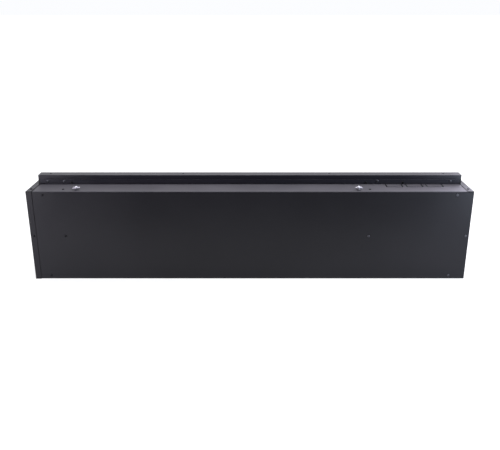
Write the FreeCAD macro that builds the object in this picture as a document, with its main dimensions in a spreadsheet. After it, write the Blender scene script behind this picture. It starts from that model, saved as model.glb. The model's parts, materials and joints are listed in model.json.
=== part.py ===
import FreeCAD, Part
import os
import re

# Linear electric fireplace: a shallow folded-steel box that is let into a wall.
# Frame: origin on the underside at the middle of the casing, +Z up, the glass faces -Y,
# the rear cover faces +Y.  Left and right are named as seen from the front.

doc = FreeCAD.newDocument("electric_fireplace")
sizes = doc.addObject("Spreadsheet::Sheet", "Sizes")

DIMENSIONS = (
    # Casing
    ("width", 1270), ("height", 270), ("depth", 140), ("gauge", 1.2), ("bend", 1.6),
    ("flange", 17), ("lip", 20), ("front_lip", 16), ("cover_gap", 1.5),
    # Header channel on the top
    ("header_back", 80), ("header_deep", 35), ("header_rise", 26), ("header_inset", 14),
    ("lap", 14), ("fixing_radius", 2.75),
    # Intake tabs lanced in the top panel
    ("tab_middle", -480), ("tab_pitch", 58.7), ("tab_wide", 49.5), ("tab_back", 21),
    ("tab_long", 28), ("slit", 3.4),
    # Inner walls
    ("wall_left", -337), ("wall_right", 527), ("wall_flange", 14), ("wall_front", -61),
    # Firebox
    ("window_low", 34), ("window_high", 238), ("window_edge", 15), ("glass_thick", 4),
    ("glass_low", 22), ("glass_high", 250), ("screen_back", -7), ("screen_thick", 3),
    ("screen_low", 14), ("screen_high", 252), ("tray_low", 24), ("tray_thick", 2.5),
    ("tray_rim", 9), ("tray_front", -62), ("tray_back", -14), ("board_thick", 1.6),
    ("clip_wide", 18), ("clip_tongue", 7), ("clip_foot", 11), ("support_wide", 24),
    ("crystal_pitch", 23), ("strip_wide", 10), ("chip_long", 5.6), ("chip_deep", 4.4),
    ("chip_high", 1.2),
    # Wing-nut fixings and the rail that they hold
    ("wing_right", 495), ("wing_left", -310.5), ("wing_back", 51), ("stud_radius", 2.5),
    ("stud_top", 280.3), ("stud_point", 0.8), ("washer_radius", 6), ("washer_thick", 1),
    ("wing_span", 10.5), ("wing_low", 3.4), ("wing_high", 7.6), ("wing_thick", 3),
    ("nut_high", 9.2), ("nut_radius", 5.3), ("fit", 0.05), ("rest_gap", 0.1),
    ("rail_before", 10), ("rail_behind", 12), ("rail_drop", 26), ("foil_thick", 0.8),
    # Flame rotor
    ("rotor_back", 25), ("rotor_up", 46), ("spindle_radius", 3), ("hub_radius", 5),
    ("fin_span", 18), ("fin_long", 46), ("fin_thick", 0.8), ("rotor_motor_radius", 24.5),
    ("rotor_motor_long", 19), ("motor_ear_out", 29), ("motor_ear_radius", 5.5),
    ("ear_thick", 1.5),
    # Blower and heater in the left bay
    ("bay_middle", -510), ("duct_wide", 192), ("duct_wall", 1.2), ("duct_low", 36),
    ("duct_high", 150), ("blower_back", 28), ("blower_up", 205), ("wheel_radius", 30),
    ("wheel_long", 180), ("blade_deep", 6), ("scroll_gap", 4), ("scroll_wall", 2),
    ("blower_motor_radius", 24), ("blower_motor_long", 40), ("blower_plate_half", 28),
    ("core_front", -50), ("core_back", -34), ("fin_pitch", 5.2), ("foot_out", 80),
    # Outlet grille
    ("grille_wide", 180), ("grille_low", 44), ("grille_high", 142), ("slat_deep", 9),
    ("slat_thick", 1.2), ("rim_wide", 7),
    # Controls
    ("control_up", 236), ("button_radius", 4.8), ("button_proud", 1.2), ("button_gap", 0.3),
    ("button_pitch", 30), ("rocker_middle", -382), ("rocker_half", 7.2),
    ("rocker_wide", 4.7), ("rocker_deep", 6.4), ("rocker_lead", 4.4), ("rocker_pin", 1.2),
    ("stem_long", 6.6), ("stem_radius", 1.8), ("board_back", 11), ("holder_half", 15),
    # Screws
    ("head_radius", 3.4), ("head_high", 2.1), ("shank_radius", 1.9), ("shank_long", 7),
    ("corner_across", 588), ("corner_high", 259), ("corner_low", 11), ("middle_high", 135),
    ("cap_across", 625), ("top_screw_back", 46),
    # Cable inlet in the left end cap
    ("inlet_back", 32), ("inlet_up", 42), ("inlet_radius", 4), ("grommet_radius", 6),
    ("grommet_rim", 8.5),
    # Power board on the left end cap, and the terminal block below it
    ("power_board_half", 50), ("power_board_low", 110), ("power_board_high", 232),
    ("standoff_long", 8), ("block_deep", 14),
)

for row, (alias, value) in enumerate(DIMENSIONS, start=1):
    sizes.set(f"A{row}", alias)
    sizes.set(f"B{row}", str(value))
    sizes.setAlias(f"B{row}", alias)
doc.recompute()

ALIASES = {alias for alias, value in DIMENSIONS}

# Planes that several pieces share, as expressions over the sheet.
HALF = "(width / 2)"
CAP_INNER = "(width / 2 - gauge)"
CAP_EDGE = "(width / 2 - flange)"
HEADER_END = "(width / 2 - header_inset)"
REAR = "(depth / 2)"
COVER_OUTER = "(depth / 2 - gauge)"
COVER_INNER = "(depth / 2 - 2 * gauge)"
LIP_INNER = "(depth / 2 - 3 * gauge)"
FRONT = "(-depth / 2)"
FASCIA_INNER = "(gauge - depth / 2)"
FRONT_LIP_INNER = "(2 * gauge - depth / 2)"
ROOF = "(height - gauge)"
CEILING = "(height - 2 * gauge)"
LAP_REAR = "(depth / 2 - header_back)"
LAP_FRONT = "(depth / 2 - header_back - header_deep)"
HEADER_MIDDLE = "(depth / 2 - header_back - header_deep / 2)"
HEADER_TOP = "(height + header_rise)"
GLASS_REAR = "(gauge - depth / 2 + glass_thick)"
DUCT_LEFT = "(bay_middle - duct_wide / 2)"
DUCT_RIGHT = "(bay_middle + duct_wide / 2)"
CAVITY = "(wheel_radius + scroll_gap)"
TURN_TO = {
    "x": FreeCAD.Rotation(FreeCAD.Vector(0, 1, 0), 90),
    "y": FreeCAD.Rotation(FreeCAD.Vector(1, 0, 0), -90),
    "z": FreeCAD.Rotation(),
}
pieces = []


def bind(item, prop, formula):
    """Bind one property to an expression whose words are aliases of the sheet."""
    word = re.compile(r"[a-z_]+")
    text = word.sub(lambda m: "Sizes." * (m.group() in ALIASES) + m.group(), str(formula))
    item.setExpression(prop, text)


def block(x, y, z):
    """A rectangular block between a low and a high limit on each axis."""
    item = doc.addObject("Part::Box", "Block")
    for side, axis, (low, high) in (("Length", "x", x), ("Width", "y", y), ("Height", "z", z)):
        bind(item, side, f"({high}) - ({low})")
        bind(item, f"Placement.Base.{axis}", low)
    return item


def rod(axis, at, radius, span):
    """A cylinder along one axis: `at` holds the other two coordinates in X, Y, Z order."""
    item = doc.addObject("Part::Cylinder", "Rod")
    item.Placement.Rotation = TURN_TO[axis]
    low, high = span
    bind(item, "Radius", radius)
    bind(item, "Height", f"({high}) - ({low})")
    others = [name for name in "xyz" if name != axis]
    bind(item, f"Placement.Base.{axis}", low)
    for name, place in zip(others, at):
        bind(item, f"Placement.Base.{name}", place)
    return item


def taper(axis, at, radii, span):
    """A cone along one axis, from the first radius at the low end to the second."""
    item = doc.addObject("Part::Cone", "Taper")
    item.Placement.Rotation = TURN_TO[axis]
    low, high = span
    bind(item, "Radius1", radii[0])
    bind(item, "Radius2", radii[1])
    bind(item, "Height", f"({high}) - ({low})")
    others = [name for name in "xyz" if name != axis]
    bind(item, f"Placement.Base.{axis}", low)
    for name, place in zip(others, at):
        bind(item, f"Placement.Base.{name}", place)
    return item


def fuse(*solids):
    """One solid from several that touch or overlap."""
    if len(solids) == 1:
        return solids[0]
    item = doc.addObject("Part::MultiFuse", "Fused")
    item.Shapes = list(solids)
    item.Refine = True
    return item


def cut(base, *tools):
    """The base with the tools taken out of it."""
    item = doc.addObject("Part::Cut", "Trimmed")
    item.Base = base
    item.Tool = fuse(*tools)
    return item


def together(*solids):
    """Separate solids that share one node."""
    item = doc.addObject("Part::Compound", "Set")
    item.Links = list(solids)
    return item


def piece(name, item):
    """Names a finished sub-part."""
    item.Label = name
    pieces.append(item)
    return item


def outward(side, near, far):
    """Limits along X on one side of the middle: side is 1 to the right, -1 to the left."""
    return (near, far) if side > 0 else (f"-({far})", f"-({near})")


def both_ways(reach, middle="0"):
    """Limits at the same reach on both sides of a middle."""
    return (f"({middle}) - ({reach})", f"({middle}) + ({reach})")


def bend_relief(axis, corner, inward, span):
    """The waste outside a rounded bend: taken from a square corner, it leaves a radius."""
    first, second = corner
    one, two = inward
    centre = (f"{first} + ({one}) * bend", f"{second} + ({two}) * bend")
    low, high = span
    # The block stands a hair proud of the corner so that no face is shared.
    proud = 0.5
    limits = []
    for place, sign in zip(corner, inward):
        ends = (f"{place} - ({sign}) * {proud}", f"{place} + ({sign}) * bend")
        limits.append(ends if sign > 0 else ends[::-1])
    around = dict(zip([name for name in "xyz" if name != axis], limits))
    around[axis] = (low, high)
    longer = (f"({low}) - 1", f"({high}) + 1")
    waste = block(around["x"], around["y"], around["z"])
    return cut(waste, rod(axis, centre, "bend", longer))


def pan_screw(axis, at, seat, out):
    """A cross-recess pan-head screw: `seat` is the face under its head, `out` its facing."""
    grow = (lambda near, far: (near, far)) if out > 0 else (lambda near, far: (far, near))
    head_end = f"{seat} + ({out}) * head_high"
    mid_head = f"{seat} + ({out}) * head_high * 0.45"
    shank_end = f"{seat} - ({out}) * shank_long"
    low_band = rod(axis, at, "head_radius", grow(seat, mid_head))
    radii = grow("head_radius", "head_radius * 0.72")
    dome = taper(axis, at, radii, grow(mid_head, head_end))
    shank = rod(axis, at, "shank_radius", grow(shank_end, seat))
    others = [name for name in "xyz" if name != axis]
    slots = []
    for long_way, short_way in ((0, 1), (1, 0)):
        limits = {axis: grow(f"{seat} + ({out}) * head_high * 0.4", f"{head_end} + ({out}) * 1")}
        limits[others[long_way]] = both_ways("head_radius * 0.55", at[long_way])
        limits[others[short_way]] = both_ways("0.45", at[short_way])
        slots.append(block(limits["x"], limits["y"], limits["z"]))
    return cut(fuse(low_band, dome, shank), *slots)


def screw_holes(axis, places, span):
    """Holes that clear the screws' shanks, through the sheets that they join."""
    return [rod(axis, at, "shank_radius + 0.1", span) for at in places]


# Where the screws are.  Each pair is the place in the plane that the screw goes through.
CORNERS = ("corner_across", "-corner_across")
WALL_FLANGES = ("wall_right + wall_flange / 2", "wall_left - wall_flange / 2")
REAR_SCREWS = [(x, z) for x in CORNERS for z in ("corner_high", "corner_low")]
REAR_SCREWS += [(x, "middle_high") for x in WALL_FLANGES]
CAP_REAR_SCREWS = [("cap_across", "middle_high"), ("-cap_across", "middle_high")]
TOP_SCREWS = [(x, "top_screw_back") for x in WALL_FLANGES]
CAP_TOP_SCREWS = [("cap_across", "top_screw_back"), ("-cap_across", "top_screw_back")]
HEADER_REAR_SCREWS = [(x, "height + 8") for x in ("594", "546", "-375", "-590")]
HEADER_REAR_SCREWS += [(x, "height + 4") for x in ("524", "-341", "-451")]
HEADER_FRONT_SCREWS = [(x, "height + 8") for x in ("590", "196", "-235", "-590")]
HEADER_FIXINGS = ("588", "197", "-235", "-571")
BUTTONS = ("power", "flame", "heat", "timer")


def casing():
    """The folded sheets that make the outside of the box."""
    rear_cuts = screw_holes("y", REAR_SCREWS + CAP_REAR_SCREWS, (LIP_INNER, REAR))
    cover = block((f"-{HALF}", CAP_INNER), (COVER_INNER, COVER_OUTER), ("cover_gap", f"{ROOF} - bend"))
    piece("rear_cover", cut(cover, *rear_cuts))

    roof = block(both_ways(CAP_INNER), (f"{LAP_REAR} - gauge", COVER_INNER), (CEILING, ROOF))
    rear_lip = block((f"1 - {CAP_EDGE}", CAP_INNER), (LIP_INNER, COVER_INNER), (f"{ROOF} - lip", ROOF))
    lap = block(both_ways(HEADER_END), (f"{LAP_REAR} - gauge", LAP_REAR), (CEILING, f"{ROOF} + lap"))
    through = (f"{CEILING} - 1", f"{ROOF} + 1")
    waste = [bend_relief("x", (COVER_INNER, ROOF), (-1, -1), both_ways(HALF))]
    waste += screw_holes("z", TOP_SCREWS + CAP_TOP_SCREWS, through)
    waste += screw_holes("y", REAR_SCREWS, (f"{LIP_INNER} - 1", REAR))
    waste += screw_holes("y", HEADER_REAR_SCREWS, (f"{LAP_REAR} - 3", f"{LAP_REAR} + 1"))
    for x in ("wing_left", "wing_right"):
        waste.append(rod("z", (x, "wing_back"), "stud_radius + 0.4", through))
    # Each intake tab stays joined along its front edge: a slit runs round its other three sides.
    for step in (-1, 0, 1):
        middle = f"(tab_middle + ({step}) * tab_pitch)"
        window = block(both_ways("tab_wide / 2", middle), ("tab_back - tab_long", "tab_back"), through)
        tab_ends = ("tab_back - tab_long - 1", "tab_back - slit")
        tab = block(both_ways("tab_wide / 2 - slit", middle), tab_ends, through)
        waste.append(cut(window, tab))
    piece("top_panel", cut(fuse(roof, rear_lip, lap), *waste))

    floor = block(both_ways(CAP_INNER), (FASCIA_INNER, COVER_INNER), ("0", "gauge"))
    rear_lip = block((f"1 - {CAP_EDGE}", CAP_INNER), (LIP_INNER, COVER_INNER), ("0", "lip"))
    front_lip = block(both_ways(f"{CAP_EDGE} - 1"), (FASCIA_INNER, FRONT_LIP_INNER), ("0", "front_lip"))
    low_screws = [(x, "corner_low") for x in CORNERS]
    low_holes = screw_holes("y", low_screws, (LIP_INNER, REAR))
    piece("bottom_panel", cut(fuse(floor, rear_lip, front_lip), *low_holes))


def end_cap(name, side, rear_flange):
    """An end cap: a plate with flanges over the top, the rear, the bottom and the front."""
    edge = outward(side, CAP_EDGE, HALF)
    rear_end = rear_flange[1]
    plate = block(outward(side, CAP_INNER, HALF), (FASCIA_INNER, rear_end), ("0", "height"))
    over_top = block(edge, (FASCIA_INNER, COVER_OUTER), (ROOF, "height"))
    over_rear = block(edge, rear_flange, ("2 * gauge" if side < 0 else "0", CEILING))
    over_floor = block(edge, both_ways("60"), ("gauge", "2 * gauge"))
    at_front = block(edge, (FASCIA_INNER, FRONT_LIP_INNER), ("front_lip + 1", CEILING))
    notch_edge = outward(side, f"{CAP_EDGE} - 1", f"{HEADER_END} + 0.4")
    waste = [block(notch_edge, (f"{LAP_FRONT} - 0.4", f"{LAP_REAR} + 0.4"), (ROOF, "height + 1"))]
    corner = HALF if side > 0 else f"-{HALF}"
    waste.append(bend_relief("y", (corner, "height"), (-side, -1), (f"{FRONT}", f"{REAR} + 1")))
    if side > 0:
        waste.append(bend_relief("z", (corner, REAR), (-side, -1), ("-1", "height + 1")))
    waste += screw_holes("y", CAP_REAR_SCREWS, (LIP_INNER, f"{REAR} + 1"))
    waste += screw_holes("z", CAP_TOP_SCREWS, (f"{CEILING}", "height + 1"))
    if side < 0:
        inlet_span = (f"-{HALF} - 1", f"-{CAP_INNER} + 1")
        waste.append(rod("x", ("inlet_back", "inlet_up"), "grommet_radius", inlet_span))
    piece(name, cut(fuse(plate, over_top, over_rear, over_floor, at_front), *waste))


def header():
    """The raised channel: a folded inverted U with closed ends and four fixing holes."""
    ends = both_ways(HEADER_END)
    rear = (f"{LAP_REAR} - 2 * gauge", f"{LAP_REAR} - gauge")
    front = (f"{LAP_FRONT} + gauge", f"{LAP_FRONT} + 2 * gauge")
    tall = (CEILING, HEADER_TOP)
    walls = [block(ends, rear, tall), block(ends, front, tall)]
    walls.append(block(ends, (front[0], rear[1]), (f"{HEADER_TOP} - gauge", HEADER_TOP)))
    for side in (-1, 1):
        cheek = outward(side, f"{HEADER_END} - gauge", HEADER_END)
        walls.append(block(cheek, (front[0], rear[1]), (f"{ROOF} + 0.2", HEADER_TOP)))
    waste = [bend_relief("x", (rear[1], HEADER_TOP), (-1, -1), both_ways(HALF))]
    waste.append(bend_relief("x", (front[0], HEADER_TOP), (1, -1), both_ways(HALF)))
    through = (f"{HEADER_TOP} - 4", f"{HEADER_TOP} + 1")
    for x in HEADER_FIXINGS:
        waste.append(rod("z", (x, HEADER_MIDDLE), "fixing_radius", through))
    waste += screw_holes("y", HEADER_REAR_SCREWS, (rear[0], LAP_REAR))
    waste += screw_holes("y", HEADER_FRONT_SCREWS, (LAP_FRONT, front[1]))
    piece("header_channel", cut(fuse(*walls), *waste))


def fascia():
    """The front sheet with its window, outlet and control openings."""
    plate = block(both_ways(HALF), (FRONT, FASCIA_INNER), ("0", "height"))
    over_top = block(both_ways(CAP_INNER), (FASCIA_INNER, f"{LAP_FRONT} + gauge"), (CEILING, ROOF))
    lap = block(both_ways(HEADER_END), (LAP_FRONT, f"{LAP_FRONT} + gauge"), (CEILING, f"{ROOF} + lap"))
    through = (f"{FRONT} - 1", f"{FASCIA_INNER} + 1")
    window_x = ("wall_left + window_edge", "wall_right - window_edge")
    waste = [block(window_x, through, ("window_low", "window_high"))]
    outlet_x = both_ways("grille_wide / 2", "bay_middle")
    waste.append(block(outlet_x, through, ("grille_low", "grille_high")))
    for place in range(len(BUTTONS)):
        waste.append(rod("y", (button_x(place), "control_up"), "button_radius + button_gap", through))
    waste.append(rod("y", (button_x(len(BUTTONS)), "control_up"), "4.5", through))
    rocker_x = both_ways("rocker_wide + 1.8", "rocker_middle")
    waste.append(block(rocker_x, through, both_ways("rocker_half + 3.3", "control_up")))
    waste += screw_holes("y", HEADER_FRONT_SCREWS, (f"{LAP_FRONT} - 1", f"{LAP_FRONT} + 3"))
    piece("fascia", cut(fuse(plate, over_top, lap), *waste))


def button_x(place):
    """The place across the front of one control in the row."""
    return f"(bay_middle + ({place} - 2) * button_pitch)"


def inner_wall(name, side):
    """A bulkhead beside the firebox, with screw flanges turned into the bay behind it."""
    face = "wall_right" if side > 0 else "wall_left"
    plate_x = (face, f"{face} + gauge") if side > 0 else (f"{face} - gauge", face)
    flange_x = (face, f"{face} + wall_flange") if side > 0 else (f"{face} - wall_flange", face)
    plate = block(plate_x, ("wall_front", f"{LIP_INNER} - 0.2"), ("gauge", CEILING))
    rear_z = ("lip + 2", f"{ROOF} - lip - 2")
    rear_plate = block(plate_x, ("0", COVER_INNER), rear_z)
    rear = block(flange_x, (LIP_INNER, COVER_INNER), rear_z)
    top = block(flange_x, (f"{LAP_REAR} + 4", f"{LIP_INNER} - 4"), (f"{CEILING} - gauge", CEILING))
    foot = block(flange_x, ("wall_front + 4", f"{LIP_INNER} - 4"), ("gauge", "2 * gauge"))
    hole = "9" if side > 0 else "spindle_radius + 3.5"
    spindle_hole = rod("x", ("rotor_back", "rotor_up"), hole, (f"{face} - 20", f"{face} + 20"))
    waste = screw_holes("y", REAR_SCREWS, (f"{LIP_INNER} - 1", REAR))
    waste += screw_holes("z", TOP_SCREWS, (f"{CEILING} - 3", f"{ROOF} + 1"))
    piece(name, cut(fuse(plate, rear_plate, rear, top, foot), spindle_hole, *waste))


def glazing():
    """The front glass and the clips that press it against the back of the fascia."""
    glass_x = ("wall_left + 4", "wall_right - 4")
    piece("front_glass", block(glass_x, (FASCIA_INNER, GLASS_REAR), ("glass_low", "glass_high")))
    clips = []
    tongue_y = (GLASS_REAR, f"{GLASS_REAR} + gauge")
    for place in range(4):
        middle = f"(wall_left + 100 + {place} * (wall_right - wall_left - 200) / 3)"
        x = both_ways("clip_wide / 2", middle)
        edges = (("glass_high", 1, FASCIA_INNER), ("glass_low", -1, FRONT_LIP_INNER))
        for edge, sign, foot in edges:
            reach = (lambda a, b: (a, b)) if sign > 0 else (lambda a, b: (b, a))
            near = f"{edge} + ({sign}) * 0.3"
            riser = block(x, (foot, tongue_y[1]), reach(near, f"{near} + ({sign}) * gauge"))
            tongue = block(x, tongue_y, reach(f"{edge} - ({sign}) * clip_tongue", near))
            base_z = reach(near, f"{near} + ({sign}) * clip_foot")
            base = block(x, (foot, f"{foot} + gauge"), base_z)
            clips.append(fuse(riser, tongue, base))
    piece("glass_clips", together(*clips))


def firebox():
    """The flame screen, its guides, the glowing tray and the crystals on it."""
    screen_y = ("screen_back - screen_thick", "screen_back")
    screen_x = ("wall_left + 2", "wall_right - 2")
    piece("flame_screen", block(screen_x, screen_y, ("screen_low", "screen_high")))
    guides = []
    for x in (("wall_left", "wall_left + 8"), ("wall_right - 8", "wall_right")):
        outer = block(x, (f"{screen_y[0]} - 2", f"{screen_y[1]} + 2"), ("screen_low", "screen_high"))
        guides.append(cut(outer, block(screen_x, screen_y, ("screen_low - 1", "screen_high + 1"))))
    piece("screen_guides", together(*guides))

    tray_x = ("wall_left + 2", "wall_right - 2")
    outer = block(tray_x, ("tray_front", "tray_back"), ("tray_low", "tray_low + tray_rim"))
    inner_x = (f"{tray_x[0]} + tray_thick", f"{tray_x[1]} - tray_thick")
    inner_y = ("tray_front + tray_thick", "tray_back - tray_thick")
    hollow = block(inner_x, inner_y, ("tray_low + tray_thick", "tray_low + tray_rim + 1"))
    piece("ember_tray", cut(outer, hollow))

    supports = []
    for place in range(4):
        middle = f"(wall_left + 60 + {place} * (wall_right - wall_left - 120) / 3)"
        x = both_ways("support_wide / 2", middle)
        outer = block(x, ("tray_front + 6", "tray_back - 2"), ("gauge", "tray_low"))
        under_x = both_ways("support_wide / 2 + 1", middle)
        under_y = ("tray_front + 6 + gauge", "tray_back - 2 - gauge")
        supports.append(cut(outer, block(under_x, under_y, ("0", "tray_low - gauge"))))
    piece("tray_supports", together(*supports))
    piece("ember_crystals", together(*crystals()))


def crystals():
    """Loose cut-glass crystals in two uneven rows, each a tilted prism of its own."""
    rows = (-49.5, -26.5)
    columns = 36
    found = []
    for row, back in enumerate(rows):
        for column in range(columns):
            turn = (column * 5 + row * 3) % 7
            item = doc.addObject("Part::Prism", "Crystal")
            item.Polygon = 5 + turn % 2
            item.Circumradius = 7.2 + 0.25 * turn
            item.Height = 11 + (turn * 3) % 4
            item.Placement.Rotation = FreeCAD.Rotation(12 * turn, 7 - turn, 3 * (turn % 3) - 2)
            bind(item, "Placement.Base.x", f"wall_left + 24 + {column} * crystal_pitch")
            bind(item, "Placement.Base.y", back)
            bind(item, "Placement.Base.z", f"tray_low + tray_thick + 2 + {0.15 * turn}")
            found.append(item)
    return found


def light_strip(name, y, board_z, chip_z):
    """A long circuit strip with a row of light-emitting chips."""
    ends = ("(wall_left + 20)", "(wall_right - 20)")
    parts = [block(ends, both_ways("strip_wide / 2", y), board_z)]
    chips = 26
    for place in range(chips):
        middle = f"({ends[0]} + 16 + {place} * ({ends[1]} - {ends[0]} - 32) / {chips - 1})"
        chip_x = both_ways("chip_long / 2", middle)
        parts.append(block(chip_x, both_ways("chip_deep / 2", y), chip_z))
    piece(name, fuse(*parts))


def lights():
    """The three light strips: under the ember tray, under the rotor and over the firebox."""
    on_floor = ("gauge", "gauge + board_thick")
    upward = ("gauge + board_thick", "gauge + board_thick + chip_high")
    light_strip("ember_light_strip", "-38", on_floor, upward)
    light_strip("flame_light_strip", "rotor_back", on_floor, upward)
    under_roof = (f"{CEILING} - board_thick", CEILING)
    downward = (f"{CEILING} - board_thick - chip_high", f"{CEILING} - board_thick")
    light_strip("top_light_strip", "-48", under_roof, downward)


def reflector_and_rail():
    """The rail under the top panel that the wing nuts clamp, and the reflector it carries."""
    rail_x = ("wing_left - 16", "wing_right + 16")
    rail_back = "(wing_back + rail_behind)"
    rail_y = ("wing_back - rail_before", rail_back)
    flat = block(rail_x, rail_y, (f"{CEILING} - gauge", CEILING))
    drop = block(rail_x, (f"{rail_back} - gauge", rail_back), (f"{CEILING} - rail_drop", CEILING))
    studs = []
    for x in ("wing_left", "wing_right"):
        shoulder = "stud_top - stud_point"
        studs.append(rod("z", (x, "wing_back"), "stud_radius", (f"{CEILING} - gauge", shoulder)))
        tip = ("stud_radius", "stud_radius - stud_point")
        studs.append(taper("z", (x, "wing_back"), tip, (shoulder, "stud_top")))
    piece("hanger_rail", fuse(flat, drop, *studs))
    sheet_x = ("wall_left + 3", "wall_right - 3")
    sheet_y = (f"{rail_back} - gauge - foil_thick", f"{rail_back} - gauge")
    sheet = block(sheet_x, sheet_y, ("gauge + 0.3", f"{CEILING} - 3"))
    foot_z = ("gauge + 0.3", "gauge + 0.3 + foil_thick")
    foot = block(sheet_x, ("rotor_back + 8", sheet_y[1]), foot_z)
    piece("reflector", fuse(sheet, foot))

    washers = []
    for x in ("wing_left", "wing_right"):
        at = (x, "wing_back")
        disc = rod("z", at, "washer_radius", (ROOF, f"{ROOF} + washer_thick"))
        through = (f"{ROOF} - 1", f"{ROOF} + washer_thick + 1")
        washers.append(cut(disc, rod("z", at, "stud_radius + 0.3", through)))
    piece("wing_washers", together(*washers))
    wing_nut("wing_nut_left", "wing_left", -14)
    wing_nut("wing_nut_right", "wing_right", 12)


def wing_nut(name, x, turn):
    """A low wing nut: a domed hub with two level wings, on its stud with a running fit."""
    axis = ("0", "0")
    waist = "nut_high * 0.6"
    parts = [rod("z", axis, "nut_radius", ("0", waist))]
    parts.append(taper("z", axis, ("nut_radius", "nut_radius - 1.5"), (waist, "nut_high")))
    lobe = "((wing_high - wing_low) / 2)"
    flat = both_ways("wing_thick / 2")
    for sign in (-1, 1):
        lobe_x = f"({sign}) * (wing_span - {lobe})"
        parts.append(rod("y", (lobe_x, "(wing_high + wing_low) / 2"), lobe, flat))
        web = ("0", lobe_x) if sign > 0 else (lobe_x, "0")
        parts.append(block(web, flat, ("wing_low + 0.4", "wing_high - 0.4")))
    bore = rod("z", axis, "stud_radius + fit", ("-1", "nut_high + 1"))
    nut = cut(fuse(*parts), bore)
    nut.Placement.Rotation = FreeCAD.Rotation(FreeCAD.Vector(0, 0, 1), turn)
    bind(nut, "Placement.Base.x", x)
    bind(nut, "Placement.Base.y", "wing_back")
    bind(nut, "Placement.Base.z", f"{ROOF} + washer_thick + rest_gap")
    piece(name, nut)


def flame_rotor():
    """The rotor behind the screen: bright fins on a spindle, turned by a small motor."""
    at = ("rotor_back", "rotor_up")
    left_end = "wall_left - 6"
    right_end = "wall_right + 14"
    piece("rotor_spindle", rod("x", at, "spindle_radius", (left_end, right_end)))
    hub_x = ("(wall_left + 14)", "(wall_right - 34)")
    parts = [rod("x", at, "hub_radius", hub_x)]
    fins = 17
    step = f"(({hub_x[1]} - {hub_x[0]} - fin_long) / {fins - 1})"
    for place in range(fins):
        fin = doc.addObject("Part::Box", "Fin")
        angle = 40 * place
        fin.Placement.Rotation = FreeCAD.Rotation(FreeCAD.Vector(1, 0, 0), angle)
        bind(fin, "Length", "fin_long")
        bind(fin, "Width", "2 * fin_span")
        bind(fin, "Height", "fin_thick")
        bind(fin, "Placement.Base.x", f"{hub_x[0]} + {place} * {step}")
        # The plate's corner lies half its width and half its thickness off the axis.
        swing_y = f"-fin_span * cos({angle} deg) + fin_thick / 2 * sin({angle} deg)"
        swing_z = f"-fin_span * sin({angle} deg) - fin_thick / 2 * cos({angle} deg)"
        bind(fin, "Placement.Base.y", f"rotor_back + ({swing_y})")
        bind(fin, "Placement.Base.z", f"rotor_up + ({swing_z})")
        parts.append(fin)
    bore = rod("x", at, "spindle_radius", ("wall_left", "wall_right"))
    piece("rotor_fins", cut(fuse(*parts), bore))
    sleeve_x = ("wall_right - 26", "wall_right - 8")
    sleeve = rod("x", at, "hub_radius + 1.5", sleeve_x)
    bore = rod("x", at, "spindle_radius", ("wall_right - 30", "wall_right"))
    piece("rotor_coupling", cut(sleeve, bore))

    barrel = rod("x", at, "spindle_radius + 3.5", ("wall_left - 5", "wall_left + 3"))
    collar = rod("x", at, "spindle_radius + 6", ("wall_left", "wall_left + 3"))
    bore = rod("x", at, "spindle_radius + fit", ("wall_left - 8", "wall_left + 8"))
    piece("rotor_bush", cut(fuse(barrel, collar), bore))

    motor_x = ("wall_right + gauge", "wall_right + gauge + rotor_motor_long")
    can = rod("x", at, "rotor_motor_radius", motor_x)
    ears = []
    ear_x = (motor_x[0], f"{motor_x[0]} + ear_thick")
    for sign in (-1, 1):
        ear_at = (f"rotor_back + ({sign}) * motor_ear_out", "rotor_up")
        ears.append(rod("x", ear_at, "motor_ear_radius", ear_x))
    strap_y = both_ways("motor_ear_out", "rotor_back")
    strap = block(ear_x, strap_y, both_ways("motor_ear_radius", "rotor_up"))
    socket = rod("x", at, "spindle_radius + fit", (f"{motor_x[0]} - 1", "wall_right + 14.5"))
    leads = block((f"{motor_x[0]} + 4", f"{motor_x[1]} - 3"), both_ways("8", "rotor_back"),
                  ("rotor_up + rotor_motor_radius - 3", "rotor_up + rotor_motor_radius + 5"))
    piece("rotor_motor", cut(fuse(can, strap, leads, *ears), socket))


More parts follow.
